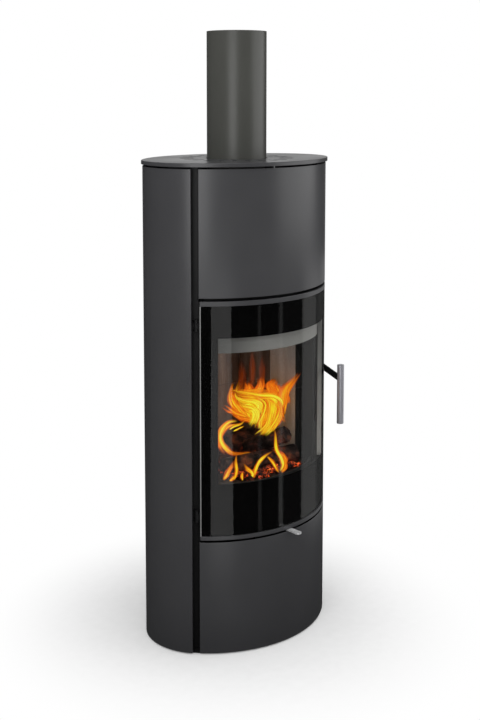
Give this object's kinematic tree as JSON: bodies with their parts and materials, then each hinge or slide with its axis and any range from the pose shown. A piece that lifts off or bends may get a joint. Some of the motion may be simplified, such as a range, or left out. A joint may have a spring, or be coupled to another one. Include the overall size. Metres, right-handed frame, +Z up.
{
  "type": "wood stove",
  "caption": "Tall free-standing steel wood stove of oval plan with a curved glass door, slotted top plate and flue pipe.",
  "frame": {"origin": "middle of the base plate's underside, on the flue's axis", "axes": "+Z up; the door faces -Y; +X is the viewer's right when facing the door"},
  "size_m": [0.53, 0.4473, 1.515],
  "materials": {
    "shell_paint": "graphite heat-proof paint, satin",
    "black_paint": "black heat-proof paint, matt",
    "flue_paint": "dark grey heat-proof paint, satin",
    "plain_steel": "plain steel, dulled by heat",
    "polished_steel": "polished stainless steel",
    "cast_iron": "rough casting",
    "ceramic_glass": "clear ceramic glass, printed black around the window",
    "fireclay": "pressed fireclay, matt",
    "glass_rope": "woven glass rope",
    "firewood": "charred bark"
  },
  "bodies": {
    "root": {"left_side_shell": "shell_paint", "right_side_shell": "shell_paint", "rear_panel": "shell_paint", "upper_front_panel": "shell_paint", "lower_front_panel": "shell_paint", "top_plate": "shell_paint", "base_plate": "black_paint", "firebox_shell": "black_paint", "firebox_stand": "black_paint", "firebox_front": "black_paint", "firebox_floor": "black_paint", "firebox_roof": "black_paint", "flue_spigot": "black_paint", "left_channel_post": "black_paint", "right_channel_post": "black_paint", "panel_bracket_left": "black_paint", "panel_bracket_right": "black_paint", "hinge_bracket_lower": "black_paint", "hinge_bracket_upper": "black_paint", "ash_shelf": "black_paint", "air_duct": "black_paint", "rear_air_spigot": "black_paint", "flue_pipe": "flue_paint", "air_wash_rail": "plain_steel", "hinge_pin_lower": "plain_steel", "hinge_pin_upper": "plain_steel", "lever_pivot_pin": "plain_steel", "grate": "cast_iron", "log_guard": "cast_iron", "side_brick_left_lower": "fireclay", "side_brick_right_lower": "fireclay", "corner_brick_left_lower": "fireclay", "corner_brick_right_lower": "fireclay", "rear_brick_lower": "fireclay", "side_brick_left_upper": "fireclay", "side_brick_right_upper": "fireclay", "corner_brick_left_upper": "fireclay", "corner_brick_right_upper": "fireclay", "rear_brick_upper": "fireclay", "floor_brick": "fireclay", "baffle_plate": "fireclay", "log_back": "firewood", "log_front": "firewood", "log_top": "firewood"},
    "door": {"door_frame": "black_paint", "door_glass": "ceramic_glass", "door_top_strip": "shell_paint", "door_bottom_strip": "shell_paint", "glass_gasket": "glass_rope", "door_gasket": "glass_rope", "handle_pivot_pin": "plain_steel"},
    "handle": {"handle_arm": "black_paint", "handle_bar": "polished_steel"},
    "air_lever": {"air_lever": "polished_steel"},
    "ash_pan": {"ash_pan": "plain_steel"}
  },
  "joints": [
    {"name": "door_hinge", "type": "hinge", "parent": "root", "child": "door", "pos_m": [-0.21501, -0.09302, 0.58], "axis": [0, 0, -1], "range_deg": [0, 100]},
    {"name": "handle_latch", "type": "hinge", "parent": "door", "child": "handle", "pos_m": [0.21949, -0.09777, 0.645], "axis": [-1, 0, 0], "range_deg": [0, 30]},
    {"name": "air_lever_swing", "type": "hinge", "parent": "root", "child": "air_lever", "pos_m": [0, -0.092, 0.2853], "axis": [0, 0, 1], "range_deg": [-20, 20]},
    {"name": "ash_pan_slide", "type": "slide", "parent": "root", "child": "ash_pan", "axis": [0, -1, 0], "range_m": [0, 0.192]}
  ],
  "couplings": [
    {"joint": "ash_pan_slide", "follows": "door_hinge", "m_per_rad": 0.11}
  ]
}
